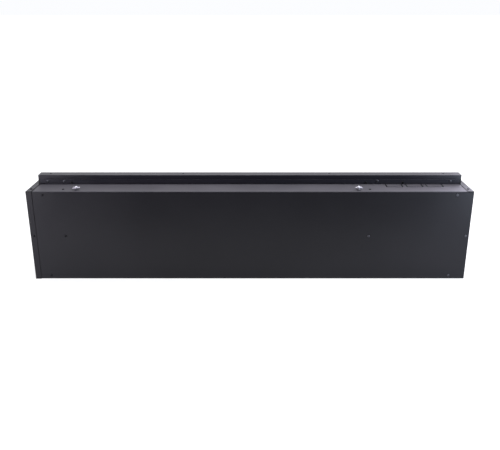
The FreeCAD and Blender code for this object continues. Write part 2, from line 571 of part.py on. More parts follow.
def blower():
    """The cross-flow blower: a bladed wheel on a shaft inside a scroll."""
    at = ("blower_back", "blower_up")
    outer_x = (DUCT_LEFT, DUCT_RIGHT)
    inner_x = (f"{DUCT_LEFT} + scroll_wall", f"{DUCT_RIGHT} - scroll_wall")
    neck_y = both_ways(f"{CAVITY} + scroll_wall - 2", "blower_back")
    neck_inner_y = both_ways(f"{CAVITY} - 2", "blower_back")
    scroll = rod("x", at, f"{CAVITY} + scroll_wall", outer_x)
    shell = fuse(scroll, block(outer_x, neck_y, ("duct_high", "blower_up")))
    cavity = rod("x", at, CAVITY, inner_x)
    neck = block(inner_x, neck_inner_y, ("duct_high - 1", "blower_up"))
    mouth_y = (f"blower_back - {CAVITY} - 5", "blower_back + 4")
    mouth = block(inner_x, mouth_y, ("blower_up + 12", "blower_up + 45"))
    bush_hole = rod("x", at, "spindle_radius + 4", (f"{DUCT_LEFT} - 1", f"{DUCT_LEFT} + 4"))
    shaft_hole = rod("x", at, "spindle_radius + 3", (f"{DUCT_RIGHT} - 4", f"{DUCT_RIGHT} + 1"))
    piece("blower_housing", cut(shell, cavity, neck, mouth, bush_hole, shaft_hole))

    wheel_x = both_ways("wheel_long / 2", "bay_middle")
    parts = []
    near_disc = (wheel_x[0], f"{wheel_x[0]} + 2")
    far_disc = (f"{wheel_x[1]} - 2", wheel_x[1])
    for x in (near_disc, both_ways("1", "bay_middle"), far_disc):
        parts.append(rod("x", at, "wheel_radius - 0.4", x))
    for x in ((wheel_x[0], f"{wheel_x[0]} + 12"), (f"{wheel_x[1]} - 12", wheel_x[1])):
        parts.append(rod("x", at, "8", x))
    blades = 26
    for place in range(blades):
        around = 360 * place / blades
        blade = doc.addObject("Part::Box", "Blade")
        # A blade leans forward of the radius by 35 degrees and ends on the wheel's rim.
        lean = around + 35
        blade.Placement.Rotation = FreeCAD.Rotation(FreeCAD.Vector(1, 0, 0), lean)
        bind(blade, "Length", "wheel_long")
        bind(blade, "Width", "blade_deep")
        bind(blade, "Height", "1")
        bind(blade, "Placement.Base.x", wheel_x[0])
        root = "(wheel_radius - blade_deep)"
        bind(blade, "Placement.Base.y", f"blower_back + {root} * cos({around} deg)")
        bind(blade, "Placement.Base.z", f"blower_up + {root} * sin({around} deg)")
        parts.append(blade)
    bore = rod("x", at, "spindle_radius", (f"{wheel_x[0]} - 1", f"{wheel_x[1]} + 1"))
    piece("blower_wheel", cut(fuse(*parts), bore))
    piece("blower_shaft", rod("x", at, "spindle_radius", (f"{DUCT_LEFT} - 3", f"{DUCT_RIGHT} + 30")))

    barrel = rod("x", at, "spindle_radius + 4", (f"{DUCT_LEFT} - 3.5", f"{DUCT_LEFT} + 3"))
    collar = rod("x", at, "spindle_radius + 6", (f"{DUCT_LEFT} - 3.5", DUCT_LEFT))
    bore = rod("x", at, "spindle_radius + fit", (f"{DUCT_LEFT} - 5", f"{DUCT_LEFT} + 5"))
    piece("blower_bush", cut(fuse(barrel, collar), bore))

    motor_x = (DUCT_RIGHT, f"{DUCT_RIGHT} + blower_motor_long")
    plate_y = both_ways("blower_plate_half", "blower_back")
    plate_z = both_ways("blower_plate_half", "blower_up")
    plate = block((motor_x[0], f"{motor_x[0]} + 2"), plate_y, plate_z)
    can = rod("x", at, "blower_motor_radius", (f"{motor_x[0]} + 2", motor_x[1]))
    stack_x = (f"{motor_x[0]} + 10", f"{motor_x[0]} + 30")
    stack = block(stack_x, both_ways("27", "blower_back"), both_ways("22", "blower_up"))
    tail = rod("x", at, "9", (motor_x[1], f"{motor_x[1]} + 6"))
    bore = rod("x", at, "spindle_radius + fit", (f"{motor_x[0]} - 1", f"{DUCT_RIGHT} + 31"))
    piece("blower_motor", cut(fuse(plate, can, stack, tail), bore))


def heater():
    """The duct below the blower, the heating element in it and its thermal cut-out."""
    duct_x = (DUCT_LEFT, DUCT_RIGHT)
    inner_x = (f"{DUCT_LEFT} + duct_wall", f"{DUCT_RIGHT} - duct_wall")
    duct_y = ("wall_front", "blower_back + 32")
    outer = block(duct_x, duct_y, ("duct_low", "duct_high"))
    inner_z = ("duct_low + duct_wall", "duct_high - duct_wall")
    hollow = block(inner_x, (f"{duct_y[0]} - 1", f"{duct_y[1]} - duct_wall"), inner_z)
    drop_y = both_ways(f"{CAVITY} - 3.5", "blower_back")
    drop = block(inner_x, drop_y, ("duct_high - 3", "duct_high + 1"))
    feet = []
    for sign in (-1, 1):
        foot_x = both_ways("6", f"bay_middle + ({sign}) * foot_out")
        feet.append(block(foot_x, ("-40", "40"), ("gauge", "duct_low")))
    piece("heater_duct", cut(fuse(outer, *feet), hollow, drop))

    core_y = ("core_front", "core_back")
    end_y = ("core_front - 2", "core_back + 2")
    end_blocks = []
    for sign in (-1, 1):
        end_x = both_ways("4", f"bay_middle + ({sign}) * (duct_wide / 2 - duct_wall - 4.2)")
        end_blocks.append(block(end_x, end_y, inner_z))
    bars = []
    for place in range(5):
        middle = f"(duct_low + 12 + {place} * (duct_high - duct_low - 24) / 4)"
        bar_x = both_ways("duct_wide / 2 - 9", "bay_middle")
        bars.append(block(bar_x, core_y, both_ways("2.5", middle)))
    fins = []
    for place in range(-16, 17):
        middle = f"(bay_middle + ({place}) * fin_pitch)"
        fins.append(block(both_ways("0.4", middle), core_y, ("duct_low + 12", "duct_high - 12")))
    piece("heater_element", fuse(*end_blocks, *bars, *fins))

    disc_at = ("bay_middle + 40", "-32")
    disc = rod("z", disc_at, "8", ("duct_high", "duct_high + 7"))
    rim = rod("z", disc_at, "9.5", ("duct_high", "duct_high + 1.2"))
    blades = []
    for sign in (-1, 1):
        blade_x = both_ways("0.4", f"bay_middle + 40 + ({sign}) * 4.5")
        blades.append(block(blade_x, ("-35", "-29"), ("duct_high + 6", "duct_high + 14")))
    piece("thermal_cutout", fuse(disc, rim, *blades))


def grille():
    """The outlet grille: a rim behind the fascia with tilted slats in the opening."""
    rim_y = (FASCIA_INNER, f"{FASCIA_INNER} + 1.6")
    rim_x = both_ways("grille_wide / 2 + rim_wide", "bay_middle")
    rim = block(rim_x, rim_y, ("grille_low - rim_wide", "grille_high + rim_wide - 1"))
    opening_x = both_ways("grille_wide / 2", "bay_middle")
    opening_z = ("grille_low", "grille_high")
    opening = block(opening_x, (f"{FASCIA_INNER} - 1", f"{FASCIA_INNER} + 3"), opening_z)
    slats = []
    count = 10
    for place in range(count):
        slat = doc.addObject("Part::Box", "Slat")
        slat.Placement.Rotation = FreeCAD.Rotation(FreeCAD.Vector(1, 0, 0), 28)
        bind(slat, "Length", "grille_wide")
        bind(slat, "Width", "slat_deep")
        bind(slat, "Height", "slat_thick")
        bind(slat, "Placement.Base.x", opening_x[0])
        bind(slat, "Placement.Base.y", f"{FRONT} + 0.8")
        step = f"(grille_high - grille_low - 7) / {count - 1}"
        bind(slat, "Placement.Base.z", f"grille_low + 1 + {place} * {step}")
        slats.append(slat)
    posts = []
    for place in (-0.5, -0.167, 0.167, 0.5):
        middle = f"bay_middle + ({place}) * (grille_wide - 2)"
        post_y = (f"{FASCIA_INNER} + 0.2", f"{FASCIA_INNER} + 6")
        posts.append(block(both_ways("1", middle), post_y, opening_z))
    piece("outlet_grille", fuse(cut(rim, opening), *posts, *slats))


def controls():
    """The push buttons, the receiver lens, the board behind them and the mains rocker."""
    stem_end = f"({FASCIA_INNER} + stem_long)"
    face = f"({FRONT} - button_proud)"
    for place, use in enumerate(BUTTONS):
        at = (button_x(place), "control_up")
        cap = rod("y", at, "button_radius", (f"{face} + 0.6", f"{FASCIA_INNER} + 1.2"))
        rim_radii = ("button_radius - 0.5", "button_radius")
        rim = taper("y", at, rim_radii, (face, f"{face} + 0.6"))
        collar_y = (f"{FASCIA_INNER} + 0.3", f"{FASCIA_INNER} + 1.8")
        collar = rod("y", at, "button_radius + 1.6", collar_y)
        stem = rod("y", at, "stem_radius", (f"{FASCIA_INNER} + 1.2", stem_end))
        piece(f"{use}_button", fuse(cap, rim, collar, stem))
    lens_at = (button_x(len(BUTTONS)), "control_up")
    lens = rod("y", lens_at, "4.4", (f"{FRONT} - 0.4", f"{FASCIA_INNER} + 1.5"))
    lens_flange = rod("y", lens_at, "6.2", (FASCIA_INNER, f"{FASCIA_INNER} + 1.5"))
    piece("receiver_lens", fuse(lens, lens_flange))

    board_y = (f"({FASCIA_INNER} + board_back)", f"({FASCIA_INNER} + board_back + board_thick)")
    span_x = ("bay_middle - 80", "bay_middle + 80")
    span_z = both_ways("holder_half", "control_up")
    outer = block(span_x, (FASCIA_INNER, board_y[0]), span_z)
    inner_x = (f"{span_x[0]} + 2", f"{span_x[1]} - 2")
    inner_y = (f"{FASCIA_INNER} - 1", f"{board_y[0]} + 1")
    inner = block(inner_x, inner_y, both_ways("holder_half - 2", "control_up"))
    piece("control_holder", cut(outer, inner))
    parts = [block(span_x, board_y, span_z)]
    for place in range(len(BUTTONS)):
        at = (button_x(place), "control_up")
        # A tact switch: a square body and the plunger that the button's stem pushes.
        parts.append(rod("y", at, "1.7", (f"{stem_end} + 1.2", f"{board_y[0]} - 2.4")))
        body_y = (f"{board_y[0]} - 2.6", board_y[0])
        parts.append(block(both_ways("3", at[0]), body_y, both_ways("3", at[1])))
    eye_y = (f"{board_y[0]} - 6", board_y[0])
    parts.append(block(both_ways("3", lens_at[0]), eye_y, both_ways("3", lens_at[1])))
    plug_x = ("bay_middle - 60", "bay_middle - 35")
    plug_y = (board_y[1], f"{board_y[1]} + 6")
    parts.append(block(plug_x, plug_y, both_ways("5", "control_up")))
    piece("control_board", fuse(*parts))
    rocker_switch()


def rocker_switch():
    """The mains switch: a housing in the fascia and a rocker on two short pins."""
    x = "rocker_middle"
    pivot = f"({FRONT} + 2.2)"
    at = (pivot, "control_up")
    front = f"({FRONT} - 1.2)"
    rim_z = both_ways("rocker_half + 5", "control_up")
    rim = block(both_ways("rocker_wide + 3.6", x), (front, FRONT), rim_z)
    body_z = both_ways("rocker_half + 3.2", "control_up")
    body = block(both_ways("rocker_wide + 1.7", x), (FRONT, f"{FRONT} + 20"), body_z)
    well_z = both_ways("rocker_half + 1.9", "control_up")
    well = block(both_ways("rocker_wide + 0.35", x), (f"{front} - 1", f"{FRONT} + 12"), well_z)
    pin_hole = rod("x", at, "rocker_pin + fit", both_ways("rocker_wide + 1.3", x))
    tabs = []
    for up in (-6, 0, 6):
        tab_z = both_ways("0.4", f"control_up + {up}")
        tabs.append(block(both_ways("2.4", x), (f"{FRONT} + 19", f"{FRONT} + 27"), tab_z))
    piece("rocker_housing", cut(fuse(rim, body, *tabs), well, pin_hole))

    # At rest the rocker is switched off, tipped so that its upper half stands out.
    paddle = doc.addObject("Part::Box", "Paddle")
    tip = 8
    sine = f"sin({tip} deg)"
    cosine = f"cos({tip} deg)"
    paddle.Placement.Rotation = FreeCAD.Rotation(FreeCAD.Vector(1, 0, 0), tip)
    bind(paddle, "Length", "2 * rocker_wide")
    bind(paddle, "Width", "rocker_deep")
    bind(paddle, "Height", "2 * rocker_half")
    bind(paddle, "Placement.Base.x", f"{x} - rocker_wide")
    bind(paddle, "Placement.Base.y", f"{pivot} - rocker_lead * {cosine} + rocker_half * {sine}")
    up = f"control_up - rocker_lead * {sine} - rocker_half * {cosine}"
    bind(paddle, "Placement.Base.z", up)
    pins = rod("x", at, "rocker_pin", both_ways("rocker_wide + 1", x))
    piece("power_rocker", fuse(paddle, pins))


def electrics():
    """The power board on the left end cap, the terminal block and the cable inlet."""
    wall = f"-{CAP_INNER}"
    board_x = (f"(standoff_long - {CAP_INNER})", f"(standoff_long + board_thick - {CAP_INNER})")
    face = board_x[1]
    board_z = ("power_board_low", "power_board_high")
    parts = [block(board_x, both_ways("power_board_half"), board_z)]
    # The transformer, two relays, the supply capacitor and a row of plug sockets.
    parts.append(block((face, f"{face} + 13"), ("-40", "-8"), ("122", "160")))
    for low in (122, 146):
        parts.append(block((face, f"{face} + 12"), ("8", "36"), (str(low), str(low + 18))))
    parts.append(rod("x", ("-28", "186"), "9", (face, f"{face} + 13")))
    for place in range(4):
        low = f"{13 * place - 2}"
        parts.append(block((face, f"{face} + 9"), (low, f"{low} + 9"), ("206", "216")))
    piece("power_board", fuse(*parts))
    posts = []
    for back in both_ways("power_board_half - 6"):
        for up in ("power_board_low + 6", "power_board_high - 6"):
            posts.append(rod("x", (back, up), "3", (wall, board_x[0])))
    piece("board_standoffs", together(*posts))

    base = block((wall, f"block_deep - {CAP_INNER}"), ("-30", "12"), ("60", "76"))
    well_x = (f"block_deep - 6 - {CAP_INNER}", f"block_deep + 1 - {CAP_INNER}")
    wells = [rod("x", (back, "68"), "3", well_x) for back in ("-22", "-9", "4")]
    piece("terminal_block", cut(base, *wells))

    at = ("inlet_back", "inlet_up")
    rim_radii = ("grommet_rim - 1.2", "grommet_rim")
    outer_rim = taper("x", at, rim_radii, (f"-{HALF} - 2.2", f"-{HALF}"))
    neck = rod("x", at, "grommet_radius", (f"-{HALF}", wall))
    inner_rim = rod("x", at, "grommet_rim - 0.8", (wall, f"2.3 - {CAP_INNER}"))
    bore = rod("x", at, "inlet_radius", (f"-{HALF} - 4", f"5 - {CAP_INNER}"))
    piece("cable_grommet", cut(fuse(outer_rim, neck, inner_rim), bore))


def fasteners():
    """The pan-head screws, one node for each set."""
    cover_screws = [pan_screw("y", at, COVER_OUTER, 1) for at in REAR_SCREWS]
    piece("rear_cover_screws", together(*cover_screws))
    top_screws = [pan_screw("z", at, ROOF, 1) for at in TOP_SCREWS]
    piece("top_panel_screws", together(*top_screws))
    # The right cap's rear flange lies outside the cover, and the left one's inside it.
    cap_screws = [pan_screw("y", CAP_REAR_SCREWS[0], REAR, 1)]
    cap_screws.append(pan_screw("y", CAP_REAR_SCREWS[1], COVER_OUTER, 1))
    cap_screws += [pan_screw("z", at, "height", 1) for at in CAP_TOP_SCREWS]
    piece("end_cap_screws", together(*cap_screws))
    header_screws = [pan_screw("y", at, LAP_REAR, 1) for at in HEADER_REAR_SCREWS]
    header_screws += [pan_screw("y", at, LAP_FRONT, -1) for at in HEADER_FRONT_SCREWS]
    piece("header_screws", together(*header_screws))


casing()
end_cap("end_cap_left", -1, (LIP_INNER, COVER_INNER))
end_cap("end_cap_right", 1, (COVER_OUTER, REAR))
header()
fascia()
inner_wall("bulkhead_left", -1)
inner_wall("bulkhead_right", 1)
glazing()
firebox()
lights()
reflector_and_rail()
flame_rotor()
blower()
heater()
grille()
controls()
electrics()
fasteners()
doc.recompute()

for item in doc.Objects:
    if "Invalid" in item.State or "Error" in item.State:
        raise RuntimeError(f"{item.Label} could not be built: {item.State}")
for item in pieces:
    if item.Shape.isNull() or not item.Shape.isValid():
        raise RuntimeError(f"{item.Label} has no valid shape")

os.makedirs("parts", exist_ok=True)
for item in pieces:
    item.Shape.exportStep(f"parts/{item.Label}.step")
print(len(pieces), "sub-parts written")
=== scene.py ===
import bmesh
import bpy
import json
import math
import random
from mathutils import Matrix, Vector


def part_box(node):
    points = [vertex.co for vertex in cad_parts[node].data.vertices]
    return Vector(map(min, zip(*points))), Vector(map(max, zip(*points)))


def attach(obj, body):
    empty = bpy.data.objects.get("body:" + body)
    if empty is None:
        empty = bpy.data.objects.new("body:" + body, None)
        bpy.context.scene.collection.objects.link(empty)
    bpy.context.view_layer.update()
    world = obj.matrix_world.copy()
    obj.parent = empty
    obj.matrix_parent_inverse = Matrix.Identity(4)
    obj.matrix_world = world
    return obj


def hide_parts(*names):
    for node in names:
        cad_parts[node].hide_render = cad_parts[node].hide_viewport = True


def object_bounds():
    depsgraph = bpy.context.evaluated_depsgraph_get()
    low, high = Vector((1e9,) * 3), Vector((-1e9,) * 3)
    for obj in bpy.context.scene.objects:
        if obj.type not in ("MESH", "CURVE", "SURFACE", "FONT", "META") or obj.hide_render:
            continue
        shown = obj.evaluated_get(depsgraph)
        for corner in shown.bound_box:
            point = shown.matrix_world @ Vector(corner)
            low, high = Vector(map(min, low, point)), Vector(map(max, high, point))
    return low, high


# The fireplace stands on a pale studio floor and is seen from behind, a little from above.
# Lengths are in metres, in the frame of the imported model: +Z up, the glass faces -Y.

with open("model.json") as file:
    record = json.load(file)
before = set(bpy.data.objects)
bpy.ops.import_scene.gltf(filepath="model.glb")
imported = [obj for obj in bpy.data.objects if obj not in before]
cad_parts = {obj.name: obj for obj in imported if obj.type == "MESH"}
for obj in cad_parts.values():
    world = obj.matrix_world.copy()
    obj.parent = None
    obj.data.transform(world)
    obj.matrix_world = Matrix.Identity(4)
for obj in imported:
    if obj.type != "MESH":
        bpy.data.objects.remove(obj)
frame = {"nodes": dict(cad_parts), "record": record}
nodes = frame["nodes"]
CAD_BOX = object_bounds()
SLOT_OF = {part["node"]: part["material_slot"] for part in frame["record"]["subparts"]}
BODY_OF = {node: body for body, members in frame["record"]["behaviour"]["bodies"].items()
           for node in members}
# Imported nodes whose finish differs a little from the rest of their slot: the header channel takes a
# lighter copy of the casing black, painted light for the light that it catches.
FINISH_OF = {"header_channel": "header_black_painted_light"}
MM = 0.001
CAP_FLANGE = 17.0
# The painted shadow line beside an end cap's flange, in millimetres inside the flange's edge.
JOINT_SHADOW = (2.6, 1.8)
# Painted shade, for inner corners and for the line beside the end caps' flanges.
PAINTED_SHADE = (0.002, 0.002, 0.0025)
# A paler coat along sharp edges: partly wear, partly painted highlight where the edges catch light.
WORN_AND_HIGHLIT_EDGE = (0.07, 0.07, 0.077)
# Painted shade in the hollows of plated parts.
PLATE_SHADE = (0.03, 0.03, 0.032)


# ---------------------------------------------------------------- materials

class Recipe:
    """A node material with one Principled shader, built up step by step."""

    def __init__(self, name, color, roughness, metallic=0.0, specular=0.5):
        self.material = bpy.data.materials.new(name)
        self.material.use_nodes = True
        self.tree = self.material.node_tree
        self.shader = self.tree.nodes["Principled BSDF"]
        self.set("Base Color", (*color, 1.0))
        self.set("Roughness", roughness)
        self.set("Metallic", metallic)
        self.set("Specular IOR Level", specular)
        self.color = color
        self.roughness = roughness
        self.place = self.node("ShaderNodeTexCoord").outputs["Object"]

    def node(self, kind, **values):
        item = self.tree.nodes.new(kind)
        for key, value in values.items():
            setattr(item, key, value)
        return item

    def link(self, out, into):
        self.tree.links.new(out, into)

    def set(self, socket, value):
        self.shader.inputs[socket].default_value = value

    def stretched(self, scale):
        """Object coordinates scaled unevenly, for grain and brushing."""
        mapping = self.node("ShaderNodeMapping")
        mapping.inputs["Scale"].default_value = scale
        self.link(self.place, mapping.inputs["Vector"])
        return mapping.outputs["Vector"]

    def noise(self, scale, detail=3.0, rough=0.55, vector=None):
        item = self.node("ShaderNodeTexNoise")
        item.inputs["Scale"].default_value = scale
        item.inputs["Detail"].default_value = detail
        item.inputs["Roughness"].default_value = rough
        self.link(vector or self.place, item.inputs["Vector"])
        return item.outputs["Fac"]

    def ramp(self, value, low, high, from_low=0.0, from_high=1.0):
        item = self.node("ShaderNodeMapRange", clamp=True)
        item.inputs["From Min"].default_value = from_low
        item.inputs["From Max"].default_value = from_high
        item.inputs["To Min"].default_value = low
        item.inputs["To Max"].default_value = high
        self.link(value, item.inputs["Value"])
        return item.outputs["Result"]

    def mix_color(self, factor, first, second):
        item = self.node("ShaderNodeMix", data_type="RGBA")
        for socket, value in ((item.inputs[6], first), (item.inputs[7], second)):
            if isinstance(value, tuple):
                socket.default_value = (*value, 1.0)
            else:
                self.link(value, socket)
        self.link(factor, item.inputs[0])
        return item.outputs[2]

    def multiply(self, first, second):
        item = self.node("ShaderNodeMath", operation="MULTIPLY")
        for socket, value in zip(item.inputs, (first, second)):
            if isinstance(value, float):
                socket.default_value = value
            else:
                self.link(value, socket)
        return item.outputs[0]

    def vary_roughness(self, scale, spread, vector=None):
        mottle = self.noise(scale, 4.0, 0.6, vector)
        low, high = self.roughness - spread, self.roughness + spread
        self.link(self.ramp(mottle, low, high, 0.3, 0.7), self.shader.inputs["Roughness"])

    def bump(self, height, strength, distance, before=None):
        item = self.node("ShaderNodeBump")
        item.inputs["Strength"].default_value = strength
        item.inputs["Distance"].default_value = distance
        self.link(height, item.inputs["Height"])
        if before is not None:
            self.link(before, item.inputs["Normal"])
        self.link(item.outputs["Normal"], self.shader.inputs["Normal"])
        return item.outputs["Normal"]

    def soft_edge(self, radius):
        """Rounds the look of sharp edges: sheet metal never ends in a perfect corner."""
        item = self.node("ShaderNodeBevel", samples=6)
        item.inputs["Radius"].default_value = radius
        self.link(item.outputs["Normal"], self.shader.inputs["Normal"])
        return item.outputs["Normal"]

    def edge_mask(self, radius):
        """1 along sharp edges and 0 on flat faces, from how far the rounded normal leans."""
        bevel = self.node("ShaderNodeBevel", samples=6)
        bevel.inputs["Radius"].default_value = radius
        geometry = self.node("ShaderNodeNewGeometry")
        dot = self.node("ShaderNodeVectorMath", operation="DOT_PRODUCT")
        self.link(bevel.outputs["Normal"], dot.inputs[0])
        self.link(geometry.outputs["True Normal"], dot.inputs[1])
        return self.ramp(dot.outputs["Value"], 1.0, 0.0, 0.80, 0.995)

    def level_mask(self):
        """1 on faces that look straight up, where dust settles, and 0 on upright ones."""
        split = self.node("ShaderNodeSeparateXYZ")
        self.link(self.node("ShaderNodeNewGeometry").outputs["Normal"], split.inputs[0])
        return self.ramp(split.outputs["Z"], 0.0, 1.0, 0.90, 0.995)

    def joint_shadow_mask(self, joint_at):
        """1 in the painted shadow line along the end caps' flanges, which lap over both ends of a
        panel.
        """
        split = self.node("ShaderNodeSeparateXYZ")
        self.link(self.place, split.inputs[0])
        across = self.node("ShaderNodeMath", operation="ABSOLUTE")
        self.link(split.outputs["X"], across.inputs[0])
        start, full = (joint_at - inside * MM for inside in JOINT_SHADOW)
        return self.ramp(across.outputs[0], 0.0, 0.9, start, full)

    def corner_shade_mask(self, reach):
        """1 deep in inner corners, slots and laps, where shade falls, and 0 on open faces: a mask for
        painted shade.
        """
        hollow = self.node("ShaderNodeAmbientOcclusion", samples=8)
        hollow.inputs["Distance"].default_value = reach
        return self.ramp(hollow.outputs["AO"], 0.85, 0.0, 0.35, 0.85)


def powder_coat(name, color, roughness, specular, dust, joint_at=None):
    """Satin powder coat: an orange-peel skin, dust on its level faces, paler edges (partly wear, partly
    painted highlight) and painted shade in its corners.
    """
    recipe = Recipe(name, color, roughness, specular=specular)
    paler = tuple(min(1.0, 1.35 * c + 0.004) for c in color)
    cloud = recipe.noise(2.2, 3.0, 0.5)
    speck = recipe.noise(1500.0, 2.0, 0.6)
    tone = recipe.mix_color(recipe.ramp(cloud, 0.0, 0.55, 0.35, 0.7), color, paler)
    tone = recipe.mix_color(recipe.ramp(speck, 0.0, 0.5, 0.62, 0.75), tone, paler)
    drift = recipe.ramp(recipe.noise(9.0), 0.75, 1.0, 0.35, 0.65)
    settled = recipe.multiply(recipe.level_mask(), drift)
    tone = recipe.mix_color(settled, tone, dust)
    # Paler patches along sharp edges: partly worn coat, partly painted highlight.
    edge_patches = recipe.ramp(recipe.noise(90.0), 0.0, 0.5, 0.5, 0.7)
    worn_and_highlit = recipe.multiply(recipe.edge_mask(0.25 * MM), edge_patches)
    tone = recipe.mix_color(worn_and_highlit, tone, WORN_AND_HIGHLIT_EDGE)
    # Painted shade in inner corners, and a painted shadow line beside the end caps' flanges.
    tone = recipe.mix_color(recipe.corner_shade_mask(5.0 * MM), tone, PAINTED_SHADE)
    if joint_at is not None:
        tone = recipe.mix_color(recipe.joint_shadow_mask(joint_at), tone, PAINTED_SHADE)
    recipe.link(tone, recipe.shader.inputs["Base Color"])
    recipe.vary_roughness(5.0, 0.045)
    soft = recipe.soft_edge(0.6 * MM)
    recipe.bump(recipe.noise(1100.0, 2.0, 0.5), 0.22, 0.06 * MM, before=soft)
    return recipe.material


def plated(name, color, roughness):
    """Bright nickel plate with faint polishing marks."""
    recipe = Recipe(name, color, roughness, metallic=1.0)
    marks = recipe.noise(60.0, 5.0, 0.7, recipe.stretched((1.0, 1.0, 9.0)))
    recipe.link(recipe.ramp(marks, roughness - 0.06, roughness + 0.12, 0.3, 0.7),
                recipe.shader.inputs["Roughness"])
    dull = tuple(0.72 * c for c in color)
    tone = recipe.mix_color(recipe.ramp(recipe.noise(400.0), 0.0, 0.7, 0.5, 0.75), color, dull)
    # Painted shade in the plate's hollows.
    tone = recipe.mix_color(recipe.corner_shade_mask(6.0 * MM), tone, PLATE_SHADE)
    recipe.link(tone, recipe.shader.inputs["Base Color"])
    recipe.bump(marks, 0.12, 0.05 * MM)
    return recipe.material


def zinc_sheet(name, color, roughness):
    """Galvanised or zinc-plated steel with spangle-like blotches."""
    recipe = Recipe(name, color, roughness, metallic=1.0)
    cells = recipe.node("ShaderNodeTexVoronoi")
    cells.inputs["Scale"].default_value = 160.0
    recipe.link(recipe.place, cells.inputs["Vector"])
    darker = tuple(0.75 * c for c in color)
    recipe.link(recipe.mix_color(recipe.ramp(cells.outputs["Distance"], 0.0, 0.8), color, darker),
                recipe.shader.inputs["Base Color"])
    recipe.vary_roughness(120.0, 0.08)
    recipe.bump(recipe.noise(500.0), 0.1, 0.05 * MM)
    return recipe.material


def turned_metal(name, color, roughness):
    """Ground or rolled metal with fine lines round its length."""
    recipe = Recipe(name, color, roughness, metallic=1.0)
    lines = recipe.noise(40.0, 6.0, 0.7, recipe.stretched((60.0, 1.0, 1.0)))
    recipe.link(recipe.ramp(lines, roughness - 0.08, roughness + 0.1, 0.3, 0.7),
                recipe.shader.inputs["Roughness"])
    darker = tuple(0.8 * c for c in color)
    recipe.link(recipe.mix_color(recipe.ramp(lines, 0.0, 1.0, 0.4, 0.7), color, darker),
                recipe.shader.inputs["Base Color"])
    recipe.bump(lines, 0.1, 0.04 * MM)
    return recipe.material


def moulded(name, color, roughness, grain=900.0, specular=0.5):
    """Moulded plastic or rubber with a spark-eroded skin."""
    recipe = Recipe(name, color, roughness, specular=specular)
    paler = tuple(min(1.0, 1.25 * c + 0.004) for c in color)
    recipe.link(recipe.mix_color(recipe.ramp(recipe.noise(25.0), 0.0, 0.7, 0.35, 0.7), color, paler),
                recipe.shader.inputs["Base Color"])
    recipe.vary_roughness(40.0, 0.05)
    recipe.bump(recipe.noise(grain, 2.0), 0.25, 0.05 * MM)
    return recipe.material


def see_through(name, color, roughness, transmission, ior, specular=0.5):
    """Glass or clear plastic, with faint wiping marks in its polish."""
    recipe = Recipe(name, color, roughness, specular=specular)
    recipe.set("Transmission Weight", transmission)
    recipe.set("IOR", ior)
    marks = recipe.noise(7.0, 5.0, 0.7, recipe.stretched((1.0, 1.0, 3.0)))
    recipe.link(recipe.ramp(marks, roughness, roughness + 0.02, 0.45, 0.75),
                recipe.shader.inputs["Roughness"])
    paler = tuple(min(1.0, 1.06 * c + 0.002) for c in color)
    recipe.link(recipe.mix_color(marks, color, paler), recipe.shader.inputs["Base Color"])
    return recipe.material


def circuit(name, color):
    """Solder mask over copper tracks: narrow bands, a little paler than the board."""
    recipe = Recipe(name, color, 0.35)
    cells = recipe.node("ShaderNodeTexBrick")
    cells.inputs["Scale"].default_value = 90.0
    cells.inputs["Mortar Size"].default_value = 0.03
    recipe.link(recipe.place, cells.inputs["Vector"])
    track = tuple(min(1.0, 1.6 * c + 0.01) for c in color)
    recipe.link(recipe.mix_color(cells.outputs["Fac"], color, track),
                recipe.shader.inputs["Base Color"])
    recipe.vary_roughness(60.0, 0.05)
    recipe.bump(cells.outputs["Fac"], 0.2, 0.05 * MM)
    return recipe.material


